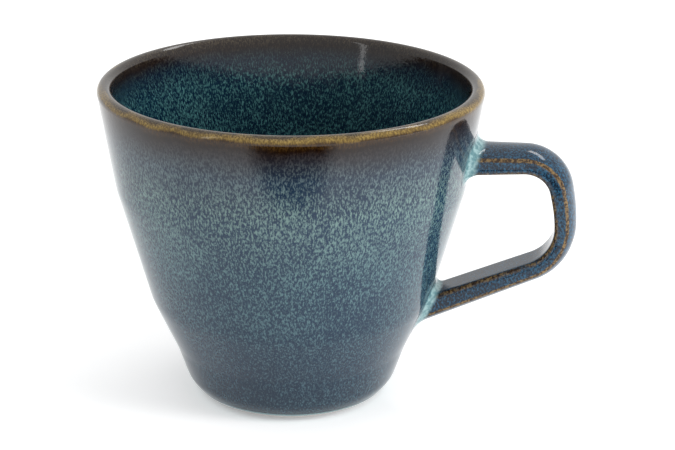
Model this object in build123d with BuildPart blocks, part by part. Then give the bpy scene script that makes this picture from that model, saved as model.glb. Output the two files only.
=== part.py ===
from build123d import *
from math import atan2, tan
import os

# A stoneware mug: a flared cup on a small bare foot, a strap handle luted to its side with slip,
# and coats of glaze over everything but the foot. Millimetres, +Z up. The origin is the centre of
# the foot, on the surface the mug stands on, and the handle is along +X.

os.makedirs("parts", exist_ok=True)

# --- glaze ---------------------------------------------------------------------------------------
glaze_thickness = 0.5
glaze_line_height = 0.4  # the outer coat stops here, above the bare foot
rim_band_height = 8.0  # how far the brown band over the lip reaches down both faces of the wall

# --- cup: fired clay, without its glaze ------------------------------------------------------------
cup_height = 76.0
rim_radius = 44.5  # widest point of the rounded lip
lip_width = 2.4
belly_radius = rim_radius - 3.73
belly_height = 52.16
waist_radius = rim_radius - 11.41
waist_height = 24.79
hip_radius = rim_radius - 17.06  # a slight crease, where the rounded base meets the flare
hip_height = 12.4
base_radius = rim_radius - 21.15  # where side and underside would meet if they weren't rounded
belly_round = 24.9
waist_round = 22.4
hip_round = 20.5
base_round = 7.67
wall_thickness = 3.3
floor_thickness = 4.5
floor_radius = base_radius - 1.85
floor_round = 9.0

# --- foot ring -------------------------------------------------------------------------------------
foot_radius = base_radius - 3.45
foot_height = 0.5  # how far the ring stands proud of the rounded base
foot_width = 3.5
foot_edge_round = 0.3
recess_depth = 1.8

# --- strap handle: fired clay with its own thin coat ------------------------------------------------
# Its line is the middle of the face that fingers touch. Reaches are measured outward from the cup's
# wall at the upper end, and drops downward.
upper_end_drop = 18.36  # from the rim
upper_end_rise = 0.98  # how much the upper run climbs to its bend
upper_bend_reach = 18.25
grip_reach = 20.55
grip_drop = 9.92  # from the upper bend
lower_bend_reach = 21.08
lower_bend_drop = 19.82  # from the upper bend
lower_end_drop = 31.24  # from the upper end
upper_bend_round = 6.0
grip_round = 38.0
lower_bend_round = 9.3
end_depth = 9.0  # how far the line runs on past the wall, whose surface then trims the strap
strap_edge_round = 1.3
strap_crown = 1.86  # how far the outer face swells beyond its edges
upper_end_width = 15.36
upper_end_thickness = 4.39  # at the long edges
grip_width = 10.23
grip_thickness = 3.05
lower_end_width = 9.7
lower_end_thickness = 4.61

# --- slip that fills the corner between strap and cup ----------------------------------------------
upper_slip_round = 4.2
lower_slip_round = 3.2
slip_bed = 0.4  # the roundings start this far under both surfaces, so the slip has no feather edge

# --- lip corners -----------------------------------------------------------------------------------
# The lip is a full round: these are the two sharp corners that it is rounded from.
lip_round = 0.48 * lip_width
lip_lean = atan2(cup_height - belly_height, rim_radius - belly_radius)
lip_outer = rim_radius + lip_round / tan(lip_lean / 2) - lip_round
lip_inner = rim_radius - lip_width + lip_round - lip_round * tan(lip_lean / 2)

# --- outlines: distance from the axis, then height --------------------------------------------------
wall_outline = [
    (base_radius, foot_height),
    (hip_radius, hip_height),
    (waist_radius, waist_height),
    (belly_radius, belly_height),
    (lip_outer, cup_height),
]
wall_rounds = [base_round, hip_round, waist_round, belly_round]
floor_height = recess_depth + floor_thickness
hollow_outline = [
    (floor_radius, floor_height),
    (waist_radius - wall_thickness, waist_height),
    (belly_radius - wall_thickness, belly_height),
    (lip_inner, cup_height),
]
hollow_rounds = [floor_round, waist_round, belly_round]
half_plane = Plane(origin=(0, 0, 0), x_dir=(-1, 0, 0), z_dir=(0, 1, 0))


def wall_point(height):
    """The point of the cup's outer outline at a height, on the handle's side."""
    for (low_radius, low), (high_radius, high) in zip(wall_outline, wall_outline[1:]):
        if low <= height <= high:
            share = (height - low) / (high - low)
            return Vector(low_radius + share * (high_radius - low_radius), 0, height)


def filled_outline(outline, rounds):
    """The region between the axis and an outline that starts level and ends level."""
    bottom = (0, outline[0][1])
    top = (0, outline[-1][1])
    with BuildSketch() as region:
        with BuildLine():
            FilletPolyline(bottom, *outline, top, radius=[*rounds, 0])
            Line(top, bottom)
        make_face()
    return region.sketch


def band(low, high):
    """A level band, wider than the glazed cup, that keeps part of a section."""
    with BuildSketch() as region:
        with Locations((0, low)):
            Rectangle(rim_radius + lip_width, high - low, align=(Align.MIN, Align.MIN))
    return region.sketch


with BuildSketch() as cup_region:
    add(filled_outline(wall_outline, wall_rounds))

with BuildSketch() as hollow_region:
    add(filled_outline(hollow_outline, hollow_rounds))

with BuildSketch() as clay_region:
    add(cup_region.sketch)
    Rectangle(foot_radius, floor_height, align=(Align.MIN, Align.MIN))
    add(hollow_region.sketch, mode=Mode.SUBTRACT)
    Rectangle(foot_radius - foot_width, recess_depth, align=(Align.MIN, Align.MIN), mode=Mode.SUBTRACT)
    fillet(clay_region.vertices().group_by(Axis.Y)[-1], lip_round)
    fillet(clay_region.vertices().group_by(Axis.Y)[0], foot_edge_round)

# --- cup ---------------------------------------------------------------------------------------------
with BuildPart() as stoneware_body:
    with BuildSketch(half_plane):
        add(clay_region.sketch)
    revolve(axis=Axis.Z)
stoneware_body.part.label = "stoneware_body"
export_step(stoneware_body.part, "parts/stoneware_body.step")

# --- handle line --------------------------------------------------------------------------------------
upper_end = wall_point(cup_height - upper_end_drop)
lower_end = wall_point(upper_end.Z - lower_end_drop)
upper_bend = upper_end + Vector(upper_bend_reach, 0, upper_end_rise)
grip = Vector(upper_end.X + grip_reach, 0, upper_bend.Z - grip_drop)
lower_bend = Vector(upper_end.X + lower_bend_reach, 0, upper_bend.Z - lower_bend_drop)
upper_start = upper_end + (upper_end - upper_bend).normalized() * end_depth
lower_start = lower_end + (lower_end - lower_bend).normalized() * end_depth
joint_split = (upper_end.Z + lower_end.Z) / 2  # between the upper and the lower joint
rim_band_low = cup_height - rim_band_height
with BuildLine(Plane.XZ) as handle_line:
    FilletPolyline(
        upper_start,
        upper_bend,
        grip,
        lower_bend,
        lower_start,
        radius=[upper_bend_round, grip_round, lower_bend_round],
    )


def strap_section(share, width, thickness, inset):
    """The strap's section square to its line: flat towards the fingers, crowned outside."""
    line = handle_line.wire()
    station = Plane(origin=line @ share, x_dir=(0, 1, 0), z_dir=line % share)
    left, right = (-width / 2, thickness), (width / 2, thickness)
    with BuildSketch(station) as section:
        with BuildLine():
            Polyline(left, (-width / 2, 0), (width / 2, 0), right)
            ThreePointArc(right, (0, thickness + strap_crown), left)
        make_face()
        fillet(section.vertices(), strap_edge_round)
        if inset > 0:
            offset(amount=-inset)
    return section.sketch


def strap(inset):
    """The strap from raw end to raw end, its surface set in by an amount."""
    sections = [
        strap_section(0, upper_end_width, upper_end_thickness, inset),
        strap_section(0.5, grip_width, grip_thickness, inset),
        strap_section(1, lower_end_width, lower_end_thickness, inset),
    ]
    with BuildPart() as swept:
        sweep(sections=sections, path=handle_line.wire(), multisection=True)
    return swept.part


def solid_cup(inset):
    """The cup with its hollow filled in, its surface set in by an amount."""
    with BuildPart() as filled:
        with BuildSketch(half_plane):
            add(cup_region.sketch)
            if inset > 0:
                offset(amount=-inset)
        revolve(axis=Axis.Z)
    return filled.part


with BuildPart() as rounded_joints:
    add(solid_cup(slip_bed))
    add(strap(slip_bed))
    corners = rounded_joints.edges(Select.NEW)
    fillet(corners.filter_by_position(Axis.Z, joint_split, cup_height), upper_slip_round)
    fillet(corners.filter_by_position(Axis.Z, 0, joint_split), lower_slip_round)


def beside_cup(low, high):
    """The space on the handle's side of the cup, between two heights."""
    reach = lower_bend.X + lower_end_thickness + end_depth
    width = upper_end_width + 4 * upper_slip_round
    with BuildPart() as space:
        with Locations((0, 0, low)):
            Box(reach, width, high - low, align=(Align.MIN, Align.CENTER, Align.MIN))
        add(solid_cup(0), mode=Mode.SUBTRACT)
    return space.part


# --- handle -------------------------------------------------------------------------------------------
with BuildPart() as stoneware_handle:
    add(strap(0))
    add(solid_cup(0), mode=Mode.SUBTRACT)
stoneware_handle.part.label = "stoneware_handle"
export_step(stoneware_handle.part, "parts/stoneware_handle.step")

# --- slip at the two joints ---------------------------------------------------------------------------
with BuildPart() as upper_joint_slip:
    add(beside_cup(joint_split, rim_band_low))
    add(strap(0), mode=Mode.SUBTRACT)
    add(rounded_joints.part, mode=Mode.INTERSECT)
upper_joint_slip.part.label = "upper_joint_slip"
export_step(upper_joint_slip.part, "parts/upper_joint_slip.step")

with BuildPart() as lower_joint_slip:
    add(beside_cup(hip_height / 2, joint_split))
    add(strap(0), mode=Mode.SUBTRACT)
    add(rounded_joints.part, mode=Mode.INTERSECT)
lower_joint_slip.part.label = "lower_joint_slip"
export_step(lower_joint_slip.part, "parts/lower_joint_slip.step")

# --- glaze coats --------------------------------------------------------------------------------------
with BuildPart() as outer_glaze:
    with BuildSketch(half_plane):
        add(cup_region.sketch)
        offset(amount=glaze_thickness)
        add(clay_region.sketch, mode=Mode.SUBTRACT)
        add(hollow_region.sketch, mode=Mode.SUBTRACT)
        Rectangle(foot_radius, floor_height, align=(Align.MIN, Align.MIN), mode=Mode.SUBTRACT)
        add(band(glaze_line_height, rim_band_low), mode=Mode.INTERSECT)
    revolve(axis=Axis.Z)
    add(strap(0), mode=Mode.SUBTRACT)
    add(rounded_joints.part, mode=Mode.SUBTRACT)
outer_glaze.part.label = "outer_glaze"
export_step(outer_glaze.part, "parts/outer_glaze.step")

with BuildPart() as liner_glaze:
    with BuildSketch(half_plane):
        add(hollow_region.sketch)
        with BuildSketch(mode=Mode.SUBTRACT):
            add(hollow_region.sketch)
            offset(amount=-glaze_thickness)
        add(band(floor_height, rim_band_low), mode=Mode.INTERSECT)
    revolve(axis=Axis.Z)
liner_glaze.part.label = "liner_glaze"
export_step(liner_glaze.part, "parts/liner_glaze.step")

with BuildPart() as rim_glaze:
    with BuildSketch(half_plane):
        add(clay_region.sketch)
        offset(amount=glaze_thickness)
        add(clay_region.sketch, mode=Mode.SUBTRACT)
        add(band(rim_band_low, cup_height + glaze_thickness), mode=Mode.INTERSECT)
    revolve(axis=Axis.Z)
rim_glaze.part.label = "rim_glaze"
export_step(rim_glaze.part, "parts/rim_glaze.step")
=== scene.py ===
import bpy
from bisect import bisect
from math import acos, atan2, cos, exp, hypot, pi, radians, sin, sqrt, tan
from mathutils import Matrix, Vector, noise


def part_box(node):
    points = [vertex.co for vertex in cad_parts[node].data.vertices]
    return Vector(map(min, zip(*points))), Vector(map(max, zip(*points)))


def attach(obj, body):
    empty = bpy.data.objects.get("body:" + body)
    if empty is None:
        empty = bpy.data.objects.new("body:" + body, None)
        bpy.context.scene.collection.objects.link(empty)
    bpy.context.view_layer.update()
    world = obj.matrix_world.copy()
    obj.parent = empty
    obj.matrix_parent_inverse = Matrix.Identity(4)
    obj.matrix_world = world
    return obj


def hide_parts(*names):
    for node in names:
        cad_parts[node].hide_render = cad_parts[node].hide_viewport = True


# A glazed stoneware mug. The cup's axis is Z, and the handle is along +X. Lengths of the mug are in
# millimetres, and its meshes are written in metres. The studio is in metres throughout.

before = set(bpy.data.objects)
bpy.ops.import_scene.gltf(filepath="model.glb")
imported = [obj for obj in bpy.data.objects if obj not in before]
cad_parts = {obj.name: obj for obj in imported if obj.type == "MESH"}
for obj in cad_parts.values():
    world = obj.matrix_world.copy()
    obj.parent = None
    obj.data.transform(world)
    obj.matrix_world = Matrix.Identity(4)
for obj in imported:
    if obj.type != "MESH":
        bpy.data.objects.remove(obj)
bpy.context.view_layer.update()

MM = 0.001
SAME_POINT = 0.01  # points of an outline nearer than this are one point
ON_LEVEL = 1e-6
NEVER_ZERO = 1e-9

# --- cup: clay and coat --------------------------------------------------------------------------
COAT = 0.5
COAT_BACK = 0.45  # how far under its face a coat's hidden back is, just short of the clay
CUP_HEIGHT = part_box("stoneware_body")[1][2] / MM
RIM_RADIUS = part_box("stoneware_body")[1][1] / MM
BAND_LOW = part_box("rim_glaze")[0][2] / MM
GLAZE_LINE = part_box("outer_glaze")[0][2] / MM
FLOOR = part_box("liner_glaze")[0][2] / MM
LIP_WIDTH = 2.4
LIP_ROUND = 1.19
BELLY = (40.77, 52.16)  # corners of the outside before rounding: distance from the axis, height
WAIST = (33.09, 24.79)
HIP = (27.44, 12.4)
BASE = (23.35, 0.5)
WALL = 3.3
FLOOR_CORNER = (21.5, FLOOR)
WALL_ROUNDS = (7.67, 20.5, 22.4, 24.9)
HOLLOW_ROUNDS = (9.0, 22.4, 24.9)
FOOT_RADIUS = 19.9
BEAD_HEIGHT = 1.7  # the roll of glaze above the bare foot
BEAD_SPREAD = 0.6
BEAD_PROUD = 0.22
RIPPLE = 0.04  # unevenness of the hand-dipped surface, never outward
RIPPLE_ROUND = 1.1  # how quickly it wanders round the cup, and up it
RIPPLE_UP = 0.03
RIPPLE_SEED = 5
LATHE_STEPS = 256
ARC_STEPS = 24
ROW_STEP = 0.6
SEAT_STEP = 0.2  # spacing of the outline that the joints are seated on
SEAT_LOW = HIP[1] / 4

# --- handle: its line is the middle of the face that fingers touch ---------------------------------
HANDLE_LINE = ((32.71, 57.16), (59.93, 58.62), (62.12, 48.70), (62.66, 38.80), (25.22, 22.88))
HANDLE_ROUNDS = (6.0, 38.0, 9.3)
LINE_ARC_STEPS = 48
LINE_STEP = 0.25
STRAP_WIDTHS = (15.36, 10.23, 9.70)  # at the upper end, the grip and the lower end
STRAP_THICKS = (4.39, 3.05, 4.61)
STRAP_CROWN = 1.86
STRAP_ROUND = 1.3
STRAP_ROWS = 130
RING_FLAT = 5  # steps along each stretch of half a section
RING_CORNER = 6
RING_SIDE = 5
RING_CROWN = 9
INNER_WEAR = 0.6  # how much of the outer edges' brown shows on the edges next to the fingers
UPPER_SETBACK = 3.0  # how far a joint's rounding reaches along strap and wall
LOWER_SETBACK = 2.9
JOINT_ROWS = 14
JOINT_SUNK = 0.3
END_SHARE = 1 / 5  # each end of the strap meets the cup within this share of its line
HALVINGS = 30


# --- outlines --------------------------------------------------------------------------------------
def rounded(points, radii, steps=ARC_STEPS):
    """A polyline with its inner corners rounded, as a dense list of points."""
    path = [Vector(points[0])]
    for before, corner, after, radius in zip(points, points[1:], points[2:], radii):
        before, corner, after = Vector(before), Vector(corner), Vector(after)
        u, v = (before - corner).normalized(), (after - corner).normalized()
        half = acos(max(-1, min(1, u.dot(v)))) / 2
        reach = radius / tan(half)
        centre = corner + (u + v).normalized() * radius / sin(half)
        start, end = corner + u * reach, corner + v * reach
        a0 = atan2(start.y - centre.y, start.x - centre.x)
        a1 = atan2(end.y - centre.y, end.x - centre.x)
        turn = (a1 - a0 + pi) % (2 * pi) - pi
        for i in range(steps + 1):
            a = a0 + turn * i / steps
            path.append(centre + radius * Vector((cos(a), sin(a))))
    path.append(Vector(points[-1]))
    return path


def spaced(path, step):
    """The same path with extra points wherever two are further apart than a step."""
    out = [path[0]]
    for a, b in zip(path, path[1:]):
        count = max(1, round((b - a).length / step))
        out += [a.lerp(b, i / count) for i in range(1, count + 1)]
    return out


def shifted(path, amount):
    """A path moved sideways, to its right as it runs."""
    out = []
    for i, p in enumerate(path):
        ahead = path[min(i + 1, len(path) - 1)] - path[max(i - 1, 0)]
        out.append(p + Vector((ahead.y, -ahead.x)).normalized() * amount)
    return out


def lip_corners():
    """The two sharp corners that the lip's full round is taken from, outer and inner."""
    lean = atan2(CUP_HEIGHT - BELLY[1], RIM_RADIUS - BELLY[0])
    outer = RIM_RADIUS + LIP_ROUND / tan(lean / 2) - LIP_ROUND
    inner = RIM_RADIUS - LIP_WIDTH + LIP_ROUND - LIP_ROUND * tan(lean / 2)
    return (outer, CUP_HEIGHT), (inner, CUP_HEIGHT)


LIP_OUTER, LIP_INNER = lip_corners()


def clay_outline():
    """The clay's face from the middle of the underside, up the outside, over the lip, to the floor."""
    points = [(0, BASE[1]), BASE, HIP, WAIST, BELLY, LIP_OUTER, LIP_INNER]
    points += [(BELLY[0] - WALL, BELLY[1]), (WAIST[0] - WALL, WAIST[1]), FLOOR_CORNER, (0, FLOOR)]
    radii = [*WALL_ROUNDS, LIP_ROUND, LIP_ROUND, *reversed(HOLLOW_ROUNDS)]
    return rounded(points, radii)


def glazed_outside():
    """The glazed outside of the cup, from the middle of the underside up to the lip."""
    clay = rounded([(0, BASE[1]), BASE, HIP, WAIST, BELLY, LIP_OUTER], WALL_ROUNDS)
    return shifted(spaced(clay, SEAT_STEP), COAT)


OUTSIDE = glazed_outside()


def wall_at(height):
    """Radius of the glazed outside and its slope (radius per height) at a height."""
    for low, high in zip(OUTSIDE, OUTSIDE[1:]):
        if low.y <= height <= high.y and low.y > SEAT_LOW:
            rise = max(high.y - low.y, NEVER_ZERO)
            slope = (high.x - low.x) / rise
            return low.x + (height - low.y) * slope, slope
    return RIM_RADIUS + COAT, 0.0


# --- meshes ----------------------------------------------------------------------------------------
def new_object(name, verts, faces, fields, sharp=()):
    """A mesh that rides on the mug, smooth but for its sharp edges, with named point fields."""
    mesh = bpy.data.meshes.new(name)
    mesh.from_pydata([tuple(c * MM for c in v) for v in verts], [], faces)
    mesh.update()
    mesh.polygons.foreach_set("use_smooth", [True] * len(mesh.polygons))
    for field, values in fields.items():
        layer = mesh.attributes.new(field, "FLOAT", "POINT")
        layer.data.foreach_set("value", values)
    keys = {tuple(sorted(edge)) for edge in sharp}
    for edge in mesh.edges:
        if tuple(sorted(edge.vertices)) in keys:
            edge.use_edge_sharp = True
    obj = bpy.data.objects.new(name, mesh)
    bpy.context.scene.collection.objects.link(obj)
    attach(obj, "root")
    return obj


def unevenness(turn, height):
    """A slow wander from -1 to 1 over the hand-dipped surface."""
    round_cup = Vector((cos(turn), sin(turn), 0)) * RIPPLE_ROUND
    return noise.noise(round_cup + Vector((0, 0, height * RIPPLE_UP + RIPPLE_SEED)))


def lathe(name, front, back, fields):
    """A closed coat turned about Z: a shown face, and a hidden back that follows it at a distance."""
    loop = [*front, *reversed(back)]
    rows = len(loop)
    verts, faces, sharp = [], [], []
    for k in range(LATHE_STEPS):
        turn = 2 * pi * k / LATHE_STEPS
        for i, p in enumerate(loop):
            dip = RIPPLE * (1 + unevenness(turn, p.y)) if i < len(front) else 0
            r = p.x - dip
            verts.append((r * cos(turn), r * sin(turn), p.y))
    for k in range(LATHE_STEPS):
        here, there = k * rows, (k + 1) % LATHE_STEPS * rows
        for i in range(rows):
            j = (i + 1) % rows
            faces.append((here + i, there + i, there + j, here + j))
        for i in (0, len(front) - 1, len(front), rows - 1):
            sharp.append((here + i, there + i))
    hidden = [0.0] * len(back)
    values = {field: [*column, *hidden] * LATHE_STEPS for field, column in fields.items()}
    return new_object(name, verts, faces, values, sharp)


# --- cup coats ---------------------------------------------------------------------------------------
def bead(p):
    """The roll that the glaze draws itself into just above the bare foot."""
    return BEAD_PROUD * exp(-((p.y - BEAD_HEIGHT) / BEAD_SPREAD) ** 2)


def coat_faces():
    """The glazed face and the hidden back of the whole cup, each from foot over the lip to the floor."""
    clay = spaced(clay_outline(), ROW_STEP)
    clay = [p for i, p in enumerate(clay) if i == 0 or (p - clay[i - 1]).length > SAME_POINT]
    return shifted(clay, COAT), shifted(clay, COAT - COAT_BACK)


def cut(path, inside, low, high):
    """The stretch of a cup outline on one side of the wall between two heights, cut level at both."""
    top = max(range(len(path)), key=lambda i: path[i].y)
    side = path[top:] if inside else path[:top + 1]
    if not inside:
        start = next(i for i, p in enumerate(side) if p.y >= low and p.x > FOOT_RADIUS)
        side = side[start - 1:]
    out = []
    for a, b in zip(side, side[1:]):
        for level in (low, high):
            if (a.y - level) * (b.y - level) < 0:
                out.append(a.lerp(b, (level - a.y) / (b.y - a.y)))
        if low - ON_LEVEL <= b.y <= high + ON_LEVEL:
            out.append(b)
    return out


def make_outer_coat(face, back):
    """The coat outside, from its roll above the foot up to the brown band."""
    front = [p + Vector((bead(p), 0)) for p in cut(face, False, GLAZE_LINE, BAND_LOW)]
    foot = Vector((FOOT_RADIUS, GLAZE_LINE))
    behind = [foot, *cut(back, False, GLAZE_LINE + COAT, BAND_LOW)]
    pool = [min(1, bead(p) / BEAD_PROUD) for p in front]
    coat = lathe("outer_coat", front, behind, {"pool": pool})
    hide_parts("outer_glaze")
    paint(coat, glaze("slate_glaze", outer_colour))


def make_rim_coat(face, back):
    """The brown band, up the outside, over the lip and down the inside."""
    top = CUP_HEIGHT + COAT
    rise, fall = cut(face, False, BAND_LOW, top), cut(face, True, BAND_LOW, top)[1:]
    behind = [*cut(back, False, BAND_LOW, top), *cut(back, True, BAND_LOW, top)]
    inside = [*([0.0] * len(rise)), *([1.0] * len(fall))]
    coat = lathe("rim_coat", [*rise, *fall], behind, {"inside": inside})
    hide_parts("rim_glaze")
    paint(coat, glaze("lip_glaze", rim_colour))


def make_liner_coat(face, back):
    """The coat inside, from the band down to the middle of the floor."""
    front = cut(face, True, FLOOR - COAT, BAND_LOW)
    behind = cut(back, True, FLOOR - COAT, BAND_LOW)
    coat = lathe("liner_coat", front, behind, {})
    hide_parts("liner_glaze")
    paint(coat, glaze("liner_glaze", inside_colour))


# --- handle --------------------------------------------------------------------------------------------
def ring(width, thick):
    """The strap's section, once round: (sideways, outward, turn of the normal, share of an edge)."""
    h, r = width / 2, STRAP_ROUND
    big = (h * h + STRAP_CROWN ** 2) / (2 * STRAP_CROWN)
    hub = thick + STRAP_CROWN - big
    lift = hub + sqrt((big - r) ** 2 - (h - r) ** 2)
    bend = atan2(lift - hub, h - r)
    half = []
    for i in range(RING_FLAT):
        half.append(((h - r) * i / RING_FLAT, 0, -pi / 2, 0))
    for i in range(RING_CORNER):
        a = -pi / 2 + pi / 2 * i / RING_CORNER
        wear = INNER_WEAR * sin(pi * i / RING_CORNER)
        half.append((h - r + r * cos(a), r + r * sin(a), a, wear))
    for i in range(RING_SIDE):
        half.append((h, r + (lift - r) * i / RING_SIDE, 0, 0))
    for i in range(RING_CORNER):
        a = bend * i / RING_CORNER
        wear = sin(pi * i / RING_CORNER)
        half.append((h - r + r * cos(a), lift + r * sin(a), a, wear))
    for i in range(RING_CROWN + 1):
        a = bend + (pi / 2 - bend) * i / RING_CROWN
        half.append((big * cos(a), hub + big * sin(a), a, 0))
    mirrored = [(-u, v, pi - a, e) for u, v, a, e in reversed(half[1:-1])]
    return half + mirrored


RING_POINTS = len(ring(STRAP_WIDTHS[0], STRAP_THICKS[0]))
LINE = spaced(rounded(HANDLE_LINE, HANDLE_ROUNDS, LINE_ARC_STEPS), LINE_STEP)
STATIONS = [0.0]
for one, two in zip(LINE, LINE[1:]):
    STATIONS.append(STATIONS[-1] + (two - one).length)


def frame_at(distance):
    """The point of the handle's line at a distance along it, its direction, and the share run."""
    distance = max(0.0, min(STATIONS[-1], distance))
    i = min(max(bisect(STATIONS, distance) - 1, 0), len(LINE) - 2)
    share = (distance - STATIONS[i]) / (STATIONS[i + 1] - STATIONS[i])
    before, after = max(i - 1, 0), min(i + 2, len(LINE) - 1)
    ahead = (LINE[after] - LINE[before]).normalized()
    return LINE[i].lerp(LINE[i + 1], share), ahead, distance / STATIONS[-1]


def blended(values, share):
    """A size that runs evenly from the upper end to the grip, and on to the lower end."""
    upper, grip, lower = values
    if share < 0.5:
        return upper + (grip - upper) * share * 2
    return grip + (lower - grip) * (share * 2 - 1)


def strap_point(i, distance):
    """Point and outward normal of one lengthwise line of the strap, at a distance along it."""
    p, ahead, share = frame_at(distance)
    u, v, a, edge = ring(blended(STRAP_WIDTHS, share), blended(STRAP_THICKS, share))[i]
    out = Vector((-ahead.y, 0, ahead.x))
    point = Vector((p.x, 0, p.y)) + out * v + Vector((0, u, 0))
    return point, (out * sin(a) + Vector((0, cos(a), 0))).normalized(), edge


def meets_wall(i, inner, outer):
    """The distance along the line at which one lengthwise line of the strap meets the glazed cup."""
    for _ in range(HALVINGS):
        middle = (inner + outer) / 2
        p, _normal, _edge = strap_point(i, middle)
        if hypot(p.x, p.y) < wall_at(p.z)[0]:
            inner = middle
        else:
            outer = middle
    return (inner + outer) / 2


def on_wall(p):
    """A point moved level onto the glazed cup, and the cup's normal there."""
    radius, slope = wall_at(p.z)
    level = Vector((p.x, p.y, 0)).normalized()
    return level * radius + Vector((0, 0, p.z)), (level - Vector((0, 0, slope))).normalized()


def joint_line(i, foot, way, reach):
    """One line of a joint, from the strap, round the corner, onto the cup and just into it, with
    the normals of the strap and of the cup where it starts and ends."""
    seat, normal = on_wall(strap_point(i, foot)[0])
    start, out, _edge = strap_point(i, foot + way * reach)
    along = (start - seat).normalized()
    down = (out - normal * out.dot(normal)).normalized()
    end, end_normal = on_wall(seat + down * reach)
    away = (end - seat).normalized()
    corner = acos(max(-1, min(1, along.dot(away))))
    pull = 4 / 3 * tan((pi - corner) / 4) * reach * tan(corner / 2)
    a, b = start - along * pull, end - away * pull
    points = []
    for k in range(JOINT_ROWS + 1):
        t = k / JOINT_ROWS
        u = 1 - t
        points.append(start * u ** 3 + a * 3 * t * u ** 2 + b * 3 * t * t * u + end * t ** 3)
    points.append(end - end_normal * JOINT_SUNK)
    return points, out, end_normal


def tube(rows, flip):
    """Verts and faces of a closed tube through rings, capped at both ends."""
    count = len(rows[0])
    verts = [p for row in rows for p in row]
    faces = []
    for k in range(len(rows) - 1):
        for i in range(count):
            j = (i + 1) % count
            quad = (k * count + i, k * count + j, (k + 1) * count + j, (k + 1) * count + i)
            faces.append(quad[::-1] if flip else quad)
    for k in (0, len(rows) - 1):
        verts.append(sum(rows[k], Vector()) / count)
        for i in range(count):
            fan = (k * count + i, k * count + (i + 1) % count, len(verts) - 1)
            faces.append(fan if (k == 0) == flip else fan[::-1])
    return verts, faces


def make_strap(uppers, lowers):
    """The strap, from where its upper joint's rounding ends to where its lower joint's starts."""
    rows, edges = [], []
    for k in range(STRAP_ROWS + 1):
        t = k / STRAP_ROWS
        row = []
        for i in range(RING_POINTS):
            first, last = uppers[i] + UPPER_SETBACK, lowers[i] - LOWER_SETBACK
            point, _normal, edge = strap_point(i, first + (last - first) * t)
            row.append(point)
            edges.append(edge)
        rows.append(row)
    verts, faces = tube(rows, False)
    ends = []
    for base in (0, STRAP_ROWS * RING_POINTS):
        ends += [(base + i, base + (i + 1) % RING_POINTS) for i in range(RING_POINTS)]
    caps = [0, 0]
    strap = new_object("handle_coat", verts, faces, {"edge": edges + caps}, ends)
    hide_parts("stoneware_handle")
    paint(strap, glaze("strap_glaze", strap_colour))


def make_joint(name, feet, way, reach, material):
    """A joint that flows from the strap onto the cup, with both of their normals at its ends."""
    made = [joint_line(i, foot, way, reach) for i, foot in enumerate(feet)]
    rows = [[points[k] for points, _out, _normal in made] for k in range(JOINT_ROWS + 2)]
    verts, faces = tube(rows, way > 0)
    wear = [strap_point(i, foot + way * reach)[2] for i, foot in enumerate(feet)]
    run, edge = [], []
    for k in range(JOINT_ROWS + 2):
        t = min(1, k / JOINT_ROWS)
        run += [t] * RING_POINTS
        edge += [w * (1 - t) for w in wear]
    fields = {"run": run + [0, 1], "edge": edge + [0, 0]}  # the last two are the caps' middles
    joint = new_object(f"{name}_joint_coat", verts, faces, fields)
    normals = [v.normal.copy() for v in joint.data.vertices]
    for i, (_points, out, wall_normal) in enumerate(made):
        normals[i] = out
        normals[JOINT_ROWS * RING_POINTS + i] = wall_normal
    joint.data.normals_split_custom_set_from_vertices(normals)
    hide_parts(f"{name}_joint_slip")
    paint(joint, material)


def make_handle():
    """The strap between its joints, and the two joints."""
    length = STATIONS[-1]
    uppers = [meets_wall(i, 0, length * END_SHARE) for i in range(RING_POINTS)]
    lowers = [meets_wall(i, length, length * (1 - END_SHARE)) for i in range(RING_POINTS)]
    make_strap(uppers, lowers)
    pooled = glaze("pooled_glaze", joint_colour)
    make_joint("upper", uppers, 1, UPPER_SETBACK, pooled)
    make_joint("lower", lowers, -1, LOWER_SETBACK, pooled)


# --- glaze colours: (height in millimetres, (r, g, b)) from the foot up to the lip -------------------
OUTER_GROUND = ((0, (0.005, 0.018, 0.034)), (8, (0.004, 0.017, 0.036)), (30, (0.004, 0.020, 0.046)),
                (55, (0.004, 0.022, 0.052)), (66, (0.009, 0.020, 0.040)), (71, (0.011, 0.011, 0.015)),
                (73.5, (0.006, 0.002, 0.001)), (75.0, (0.020, 0.008, 0.001)),
                (75.7, (0.110, 0.066, 0.011)), (76.2, (0.060, 0.034, 0.009)),
                (76.5, (0.020, 0.011, 0.006)))
OUTER_SPECK = ((0, (0.045, 0.095, 0.120)), (15, (0.042, 0.090, 0.118)), (40, (0.078, 0.155, 0.170)),
               (58, (0.125, 0.200, 0.190)), (66, (0.075, 0.110, 0.125)), (71, (0.030, 0.030, 0.034)),
               (73.5, (0.014, 0.006, 0.002)), (75.0, (0.050, 0.024, 0.004)),
               (75.7, (0.260, 0.175, 0.040)), (76.2, (0.200, 0.140, 0.050)),
               (76.5, (0.080, 0.060, 0.030)))
LINER_GROUND = ((0, (0.000, 0.004, 0.009)), (40, (0.000, 0.006, 0.015)), (66, (0.001, 0.012, 0.029)),
                (71, (0.002, 0.008, 0.020)), (74, (0.006, 0.003, 0.003)), (76.5, (0.014, 0.008, 0.005)))
LINER_SPECK = ((0, (0.010, 0.045, 0.054)), (40, (0.018, 0.080, 0.090)), (66, (0.060, 0.165, 0.165)),
               (71, (0.026, 0.056, 0.064)), (74, (0.022, 0.014, 0.009)), (76.5, (0.060, 0.048, 0.030)))
STRAP_GROUND = (0.002, 0.008, 0.020, 1)
STRAP_SPECK = (0.018, 0.080, 0.145, 1)
EDGE_BROWN = (0.030, 0.014, 0.005, 1)
EDGE_GOLD = (0.180, 0.115, 0.045, 1)
POOL = (0.240, 0.370, 0.380, 1)  # celadon, where the glaze lies thick
POOL_DEEP = (0.080, 0.180, 0.200, 1)
CLAY_PALE = (0.560, 0.470, 0.370, 1)
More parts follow.
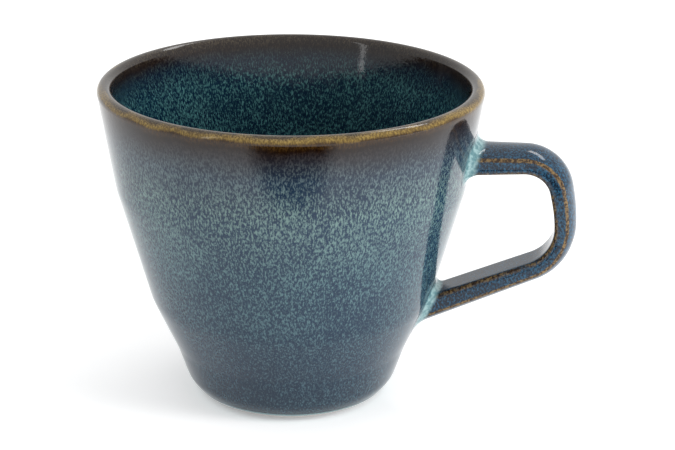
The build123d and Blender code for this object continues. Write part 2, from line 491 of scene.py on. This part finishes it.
CLAY_DEEP = (0.440, 0.350, 0.260, 1)
CLAY_GRAIN = (0.200, 0.140, 0.095, 1)
CARD_WHITES = ((0.93, 0.93, 0.93, 1), (0.95, 0.95, 0.95, 1))
CARD_BLACKS = ((0.004, 0.004, 0.004, 1), (0.008, 0.008, 0.008, 1))
GLAZE_IOR = 1.45
GLAZE_ROUGHNESS = (0.07, 0.13)
CLAY_ROUGHNESS = 0.85
MID_NOISE = (0.3, 0.7)  # a noise texture's values mostly lie between these
DRIFT_SCALE = 0.055  # where the specks lie thicker and thinner
DRIFT = 0.022
WAVER_SCALE = 0.12  # how uneven the edges of the bands of colour are
WAVER = 0.35  # in millimetres
SPECK_SCALE = 2.9
SPECK_SOFTNESS = 0.09


# --- materials -------------------------------------------------------------------------------------
class Graph:
    """A node material being put together. Noise scales are per millimetre."""

    def __init__(self, name):
        self.material = bpy.data.materials.new(name)
        self.material.use_nodes = True
        self.tree = self.material.node_tree
        self.shader = self.tree.nodes["Principled BSDF"]
        place = self.tree.nodes.new("ShaderNodeTexCoord").outputs["Object"]
        self.place = self.vector("MULTIPLY", place, (1 / MM,) * 3)  # in millimetres
        self.height = self.node("ShaderNodeSeparateXYZ", {0: self.place}).outputs[2]

    def node(self, kind, inputs, **settings):
        """A node with its settings, and with each input linked or set."""
        made = self.tree.nodes.new(kind)
        for key, value in settings.items():
            setattr(made, key, value)
        for key, value in inputs.items():
            if isinstance(value, bpy.types.NodeSocket):
                self.tree.links.new(value, made.inputs[key])
            else:
                made.inputs[key].default_value = value
        return made

    def vector(self, operation, a, b):
        """A sum on two vectors that gives a vector."""
        return self.node("ShaderNodeVectorMath", {0: a, 1: b}, operation=operation).outputs[0]

    def dot(self, a, b):
        """How far one vector reaches along another, which has a length of 1."""
        return self.node("ShaderNodeVectorMath", {0: a, 1: b}, operation="DOT_PRODUCT").outputs[1]

    def math(self, operation, a, b):
        """A sum on two values."""
        return self.node("ShaderNodeMath", {0: a, 1: b}, operation=operation).outputs[0]

    def noise(self, place, scale, detail=2.0, roughness=0.55):
        """A cloudy value about a half."""
        inputs = {"Vector": place, "Scale": scale, "Detail": detail, "Roughness": roughness}
        return self.node("ShaderNodeTexNoise", inputs).outputs["Fac"]

    def ease(self, value, low, high, start=0.0, end=1.0):
        """A smooth change from start to end as a value runs from low to high."""
        inputs = {"Value": value, "From Min": low, "From Max": high, "To Min": start, "To Max": end}
        return self.node("ShaderNodeMapRange", inputs, interpolation_type="SMOOTHSTEP").outputs[0]

    def drift(self, scale, detail, start, end):
        """A value that wanders between start and end over the surface."""
        return self.ease(self.noise(self.place, scale, detail), *MID_NOISE, start, end)

    def mix(self, share, a, b):
        """Colour a with a share of colour b over it."""
        inputs = {0: share, 6: a, 7: b}
        return self.node("ShaderNodeMix", inputs, data_type="RGBA").outputs[2]

    def field(self, name):
        """A value that the mesh carries at its points."""
        return self.node("ShaderNodeAttribute", {}, attribute_name=name).outputs["Fac"]

    def ramp(self, height, stops):
        """A colour by height."""
        full = CUP_HEIGHT + COAT
        made = self.node("ShaderNodeValToRGB", {0: self.math("DIVIDE", height, full)})
        bar = made.color_ramp.elements
        for _ in range(len(stops) - len(bar)):
            bar.new(0.5)
        for element, (level, colour) in zip(bar, stops):
            element.position = level / full
            element.color = (*colour, 1)
        return made.outputs[0]

    def shine(self, colour, roughness, bump, depth):
        """The finished material, from a colour, a roughness, and a bump of a depth in millimetres."""
        self.tree.links.new(colour, self.shader.inputs["Base Color"])
        if isinstance(roughness, bpy.types.NodeSocket):
            self.tree.links.new(roughness, self.shader.inputs["Roughness"])
        else:
            self.shader.inputs["Roughness"].default_value = roughness
        inputs = {"Strength": 1.0, "Distance": depth * MM, "Height": bump}
        normal = self.node("ShaderNodeBump", inputs).outputs[0]
        self.tree.links.new(normal, self.shader.inputs["Normal"])
        self.shader.inputs["IOR"].default_value = GLAZE_IOR
        return self.material


def specks(g, squeeze, scale, cover, softness):
    """How much of a pale crystal speck there is at a point: fine, drawn out downward, in drifts."""
    drawn = g.vector("MULTIPLY", g.place, (1, 1, squeeze))
    fine = g.noise(drawn, scale, detail=3.0, roughness=0.7)
    drift = g.drift(DRIFT_SCALE, 3.0, -DRIFT, DRIFT)
    amount = g.math("ADD", g.math("ADD", fine, drift), cover)
    return g.ease(amount, 0.5 - softness, 0.5 + softness)


def wavering_height(g):
    """Height up the cup, with an uneven edge for the bands of colour."""
    return g.math("ADD", g.height, g.drift(WAVER_SCALE, 3.0, -WAVER, WAVER))


def outside_colour(g):
    """Slate blue under pale specks, turning purplish and then brown towards the lip."""
    height = wavering_height(g)
    cover = g.ease(g.height, low=4.0, high=50.0, start=-0.08, end=-0.03)
    speck = specks(g, 0.38, SPECK_SCALE, cover, SPECK_SOFTNESS)
    return g.mix(speck, g.ramp(height, OUTER_GROUND), g.ramp(height, OUTER_SPECK))


def inside_colour(g):
    """Deep teal under pale specks, turning brown under the lip."""
    height = wavering_height(g)
    speck = specks(g, 0.4, SPECK_SCALE, -0.05, SPECK_SOFTNESS)
    return g.mix(speck, g.ramp(height, LINER_GROUND), g.ramp(height, LINER_SPECK))


def strap_colour(g):
    """Navy under blue specks, breaking to brown and gold along the strap's long edges."""
    speck = specks(g, squeeze=0.7, scale=2.2, cover=-0.03, softness=0.11)
    body = g.mix(speck, STRAP_GROUND, STRAP_SPECK)
    patchy = g.ease(g.noise(g.place, 0.5, detail=3.0), 0.3, 0.6, start=0.75, end=1.3)
    worn = g.math("MULTIPLY", g.field("edge"), patchy)
    brown = g.mix(g.ease(g.noise(g.place, 1.6), 0.42, 0.62), EDGE_BROWN, EDGE_GOLD)
    return g.mix(g.ease(worn, 0.2, 0.8), body, brown)


def outer_colour(g):
    """The outside's colour, with the pale roll above the foot."""
    roll = g.ease(g.field("pool"), 0.2, 0.9, start=0.0, end=0.8)
    return g.mix(roll, outside_colour(g), POOL)


def rim_colour(g):
    """The outside's colour up to the top of the lip, and the inside's beyond it."""
    return g.mix(g.field("inside"), outside_colour(g), inside_colour(g))


def joint_colour(g):
    """The strap's colour, then pooled celadon in the corner, then the cup's own colour."""
    pool = g.mix(g.ease(g.noise(g.place, 0.8, detail=3.0), 0.35, 0.65), POOL, POOL_DEEP)
    run = g.field("run")
    corner = g.mix(g.ease(run, 0.0, 0.35), strap_colour(g), pool)
    return g.mix(g.ease(run, 0.65, 1.0), corner, outside_colour(g))


def glaze(name, colour):
    """A glossy, very slightly pitted glaze, whose colour a function adds to its graph."""
    g = Graph(name)
    roughness = g.drift(0.4, 2.0, *GLAZE_ROUGHNESS)
    return g.shine(colour(g), roughness, g.noise(g.place, 0.9), depth=0.02)


def bare_clay():
    """Unglazed stoneware: sandy, matt, with darker grains."""
    g = Graph("bare_stoneware")
    cloud = g.mix(g.noise(g.place, 0.25, detail=4.0), CLAY_PALE, CLAY_DEEP)
    grains = g.ease(g.noise(g.place, 2.6), 0.60, 0.70)
    colour = g.mix(grains, cloud, CLAY_GRAIN)
    return g.shine(colour, CLAY_ROUGHNESS, g.noise(g.place, 2.2, detail=4.0), depth=0.08)


def floor_white():
    """Matt white that glows a little, so that shadows on it stay faint. Clear from underneath."""
    g = Graph("studio_white")
    g.shader.inputs["Emission Color"].default_value = (1, 1, 1, 1)
    g.shader.inputs["Emission Strength"].default_value = FLOOR_GLOW
    below = g.node("ShaderNodeNewGeometry", {}).outputs["Backfacing"]
    g.tree.links.new(g.math("SUBTRACT", 1.0, below), g.shader.inputs["Alpha"])
    return g.shine(g.mix(g.noise(g.place, 0.02), *CARD_WHITES), 0.9, g.noise(g.place, 1.0), depth=0.01)


def flag_black(centre, across, along):
    """Matt black that fades out towards the rim of an oval with those two half-widths."""
    g = Graph("flag_black")
    off = g.vector("SUBTRACT", g.place, tuple(centre / MM))
    squares = []
    for half in (across, along):
        share = g.math("DIVIDE", g.dot(off, tuple(half.normalized())), half.length / MM)
        squares.append(g.math("MULTIPLY", share, share))
    solid = g.ease(g.math("ADD", *squares), 0.25, 0.9, start=1.0, end=0.0)
    g.tree.links.new(solid, g.shader.inputs["Alpha"])
    g.shader.inputs["Specular IOR Level"].default_value = 0
    return g.shine(g.mix(g.noise(g.place, 0.5), *CARD_BLACKS), 1.0, g.noise(g.place, 2.0), depth=0.01)


def paint(obj, material):
    """Give a whole object one material."""
    obj.data.materials.clear()
    obj.data.materials.append(material)


# --- studio, in metres ------------------------------------------------------------------------------
SKY = 0.96
FLOOR_HALF = 6.0
FLOOR_GAP = 0.00005  # keeps the floor just clear of the foot
FLOOR_GLOW = 0.24
FLAG_PLACE = (0.0250, -0.1460, 0.0010)
FLAG_WIDTH = 0.15
FLAG_DEPTH = 0.085
LAMP_TARGET = (0, 0, 0.04)
SOFTBOXES = (  # name, place, width and height, watts, whether the glaze mirrors it
    ("right_box", (0.80, -0.20, 0.34), (0.30, 0.60), 6.0, False),
    ("left_box", (-0.50, -0.60, 0.42), (0.05, 0.60), 0.30, True),
    ("top_box", (0.30, 0.50, 0.80), (0.50, 0.10), 1.0, True),
)
CAMERA_SENSOR = 36
CAMERA_LENS = 102.28
CAMERA_NEAR = 0.01
CAMERA_PLACE = (0.07250, -0.42343, 0.19694)
CAMERA_AIM = (0.01084, 0.00176, 0.04087)
CAMERA_ROLL = 0.514  # degrees


def card(name, centre, across, along, material):
    """A flat card of the studio, from its centre to the middles of two of its sides."""
    corners = [centre - across - along, centre + across - along]
    corners += [centre + across + along, centre - across + along]
    mesh = bpy.data.meshes.new(name)
    mesh.from_pydata(corners, [], [(0, 1, 2, 3)])
    obj = bpy.data.objects.new(name, mesh)
    bpy.context.scene.collection.objects.link(obj)
    paint(obj, material)
    return obj


def make_floor():
    """The white floor that the mug stands on."""
    across, along = Vector((FLOOR_HALF, 0, 0)), Vector((0, FLOOR_HALF, 0))
    card("floor", Vector((0, 0, -FLOOR_GAP)), across, along, floor_white())


def make_flag():
    """A dark card on the floor in front, out of the picture, for the cup's glossy front to mirror."""
    centre = Vector(FLAG_PLACE)
    away = Vector((centre.x, centre.y, 0)).normalized()
    across, along = Vector((-away.y, away.x, 0)) * FLAG_WIDTH / 2, away * FLAG_DEPTH / 2
    obj = card("flag", centre, across, along, flag_black(centre, across, along))
    obj.visible_camera = False
    obj.visible_diffuse = False
    obj.visible_shadow = False


def make_softbox(name, place, size, power, mirrored):
    """A rectangular lamp that shines at the mug."""
    data = bpy.data.lights.new(name, "AREA")
    data.shape = "RECTANGLE"
    data.size, data.size_y = size
    data.energy = power
    obj = bpy.data.objects.new(name, data)
    obj.location = place
    obj.visible_glossy = mirrored
    obj.rotation_euler = (Vector(LAMP_TARGET) - Vector(place)).to_track_quat("-Z", "Y").to_euler()
    bpy.context.scene.collection.objects.link(obj)


def make_sky():
    """An even white surround."""
    world = bpy.data.worlds.new("studio")
    world.use_nodes = True
    sky = world.node_tree.nodes["Background"]
    sky.inputs["Color"].default_value = (1, 1, 1, 1)
    sky.inputs["Strength"].default_value = SKY
    bpy.context.scene.world = world


def make_camera():
    """A long lens aimed between the cup and the handle, turned a little about its own axis."""
    data = bpy.data.cameras.new("camera")
    data.sensor_width = CAMERA_SENSOR
    data.lens = CAMERA_LENS
    data.clip_start = CAMERA_NEAR
    look = (Vector(CAMERA_AIM) - Vector(CAMERA_PLACE)).to_track_quat("-Z", "Y").to_matrix()
    roll = Matrix.Rotation(radians(CAMERA_ROLL), 3, "Z")
    obj = bpy.data.objects.new("camera", data)
    obj.matrix_world = Matrix.Translation(CAMERA_PLACE) @ (look @ roll).to_4x4()
    bpy.context.scene.collection.objects.link(obj)
    bpy.context.scene.camera = obj


# --- the mug, and the studio round it ----------------------------------------------------------------
glazed_face, hidden_back = coat_faces()
make_outer_coat(glazed_face, hidden_back)
make_rim_coat(glazed_face, hidden_back)
make_liner_coat(glazed_face, hidden_back)
make_handle()
paint(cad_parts["stoneware_body"], bare_clay())

make_floor()
make_flag()
make_sky()
for softbox in SOFTBOXES:
    make_softbox(*softbox)
make_camera()
bpy.context.scene.view_settings.view_transform = "Standard"
